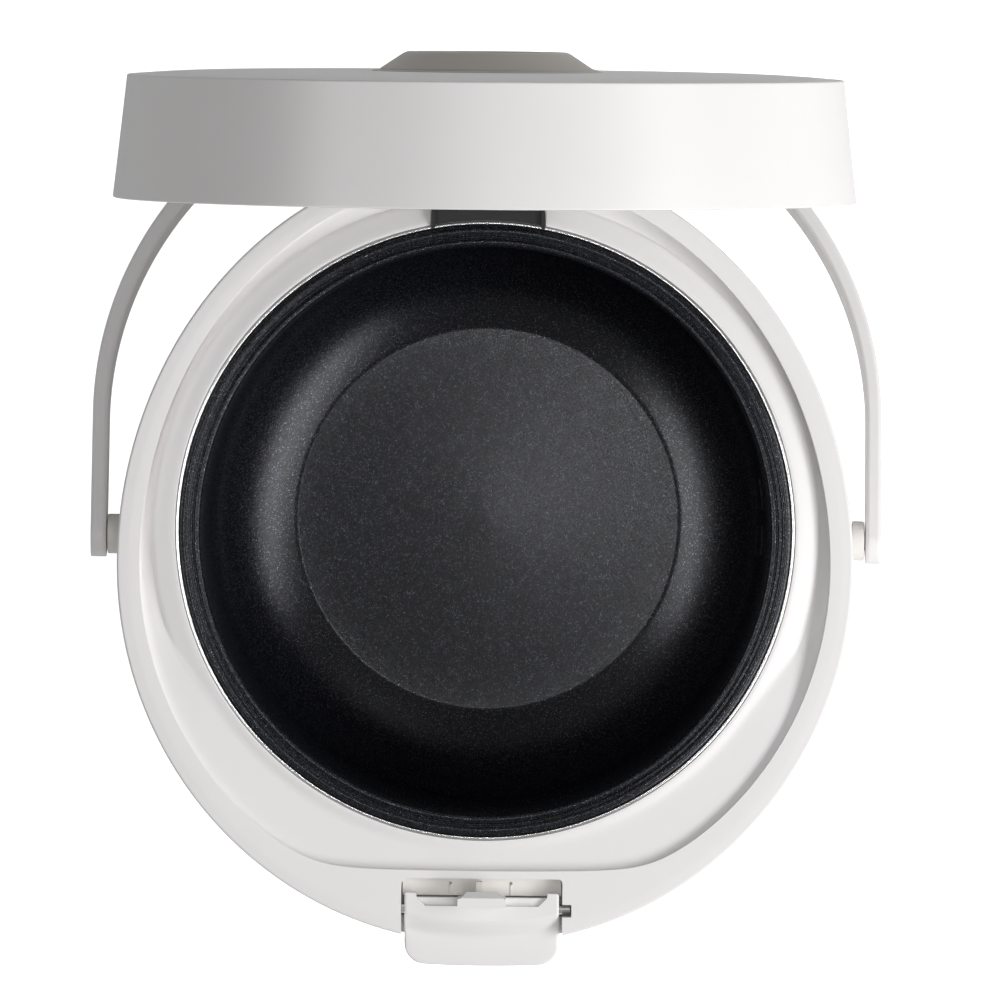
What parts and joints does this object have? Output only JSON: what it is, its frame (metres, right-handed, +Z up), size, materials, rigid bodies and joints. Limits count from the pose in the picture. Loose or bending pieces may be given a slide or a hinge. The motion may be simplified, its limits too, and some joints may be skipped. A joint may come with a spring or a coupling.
{
  "type": "rice cooker",
  "caption": "Small portable electric rice cooker with a removable pot, a hinged lid, a front latch and a folding carrying handle.",
  "frame": {"origin": "centre of the underside of the cooker's box, at the level of the feet", "axes": "+Z up, -Y towards the latch and control panel at the front, +X to the right of someone facing the front"},
  "size_m": [0.216, 0.2484, 0.3447],
  "materials": {
    "ivory_plastic": "satin ivory",
    "grey_plastic": "satin grey",
    "black_plastic": "satin",
    "silicone": "matt",
    "dark_rubber": "matt",
    "nonstick_coating": "dark non-stick coating with fine metallic flecks",
    "stainless_steel": "satin",
    "spring_steel": "plain",
    "cast_aluminium": "satin",
    "circuit_board": "matt",
    "display_lens": "gloss"
  },
  "bodies": {
    "base": {"base_cover": "grey_plastic", "base_screw_1": "stainless_steel", "base_screw_2": "stainless_steel", "base_screw_3": "stainless_steel", "cancel_switch": "black_plastic", "control_board": "circuit_board", "control_panel": "grey_plastic", "display_window": "display_lens", "earth_prong": "stainless_steel", "foot_1": "dark_rubber", "foot_2": "dark_rubber", "foot_3": "dark_rubber", "foot_4": "dark_rubber", "handle_pivot_left": "grey_plastic", "handle_pivot_right": "grey_plastic", "heat_bucket": "stainless_steel", "heater_relay": "black_plastic", "heating_plate": "cast_aluminium", "hinge_bracket": "black_plastic", "hinge_pin": "stainless_steel", "hinge_spring": "spring_steel", "latch_pin": "stainless_steel", "latch_spring": "spring_steel", "latch_tray": "grey_plastic", "live_prong": "stainless_steel", "neutral_prong": "stainless_steel", "outer_shell": "ivory_plastic", "plate_post_1": "stainless_steel", "plate_post_2": "stainless_steel", "plate_post_3": "stainless_steel", "power_board": "circuit_board", "power_inlet": "black_plastic", "sensor_guide": "black_plastic", "sensor_spring": "spring_steel", "start_switch": "black_plastic", "supply_module": "black_plastic", "thermal_fuse": "stainless_steel", "top_deck": "ivory_plastic"},
    "lid": {"lid_cover": "ivory_plastic", "lid_top_panel": "ivory_plastic", "lid_liner": "ivory_plastic", "lid_catch": "stainless_steel", "steam_duct": "silicone", "hinge_arm": "black_plastic"},
    "inner_lid_unit": {"inner_lid": "cast_aluminium", "lid_gasket": "silicone"},
    "vent": {"vent_cap": "grey_plastic"},
    "handle": {"handle_bow": "ivory_plastic"},
    "latch": {"latch_lever": "ivory_plastic"},
    "pot": {"inner_pot": "nonstick_coating"},
    "sensor": {"pot_sensor": "stainless_steel"},
    "start_key": {"start_button": "ivory_plastic"},
    "cancel_key": {"cancel_button": "ivory_plastic"}
  },
  "joints": [
    {"name": "lid_hinge", "type": "hinge", "parent": "base", "child": "lid", "pos_m": [0, 0.09098, 0.1393], "axis": [-1, 0, 0], "range_deg": [-89, 0], "stiffness_Nm_per_rad": 0.25, "springref_deg": 20.05},
    {"name": "handle_swing", "type": "hinge", "parent": "base", "child": "handle", "pos_m": [0, -0.00812, 0.112], "axis": [1, 0, 0], "range_deg": [0, 24]},
    {"name": "latch_press", "type": "hinge", "parent": "base", "child": "latch", "pos_m": [0, -0.10862, 0.129], "axis": [1, 0, 0], "range_deg": [0, 10], "stiffness_Nm_per_rad": 0.05, "springref_deg": -17.19},
    {"name": "pot_lift", "type": "slide", "parent": "base", "child": "pot", "axis": [0, 0, 1], "range_m": [0, 0.12]},
    {"name": "inner_lid_release", "type": "slide", "parent": "lid", "child": "inner_lid_unit", "axis": [0, -0.9998, -0.0174], "range_m": [0, 0.006]},
    {"name": "vent_cap_release", "type": "slide", "parent": "lid", "child": "vent", "axis": [0, 0.9998, 0.0174], "range_m": [0, 0.014]},
    {"name": "start_button_press", "type": "slide", "parent": "base", "child": "start_key", "axis": [0, 1, 0], "range_m": [0, 0.0012], "stiffness_N_per_m": 400, "springref_m": -0.001},
    {"name": "cancel_button_press", "type": "slide", "parent": "base", "child": "cancel_key", "axis": [0, 1, 0], "range_m": [0, 0.0012], "stiffness_N_per_m": 400, "springref_m": -0.001},
    {"name": "sensor_press", "type": "slide", "parent": "base", "child": "sensor", "axis": [0, 0, 1], "range_m": [-0.003, 0], "stiffness_N_per_m": 300, "springref_m": 0.006, "deforming": ["sensor_spring"]}
  ]
}
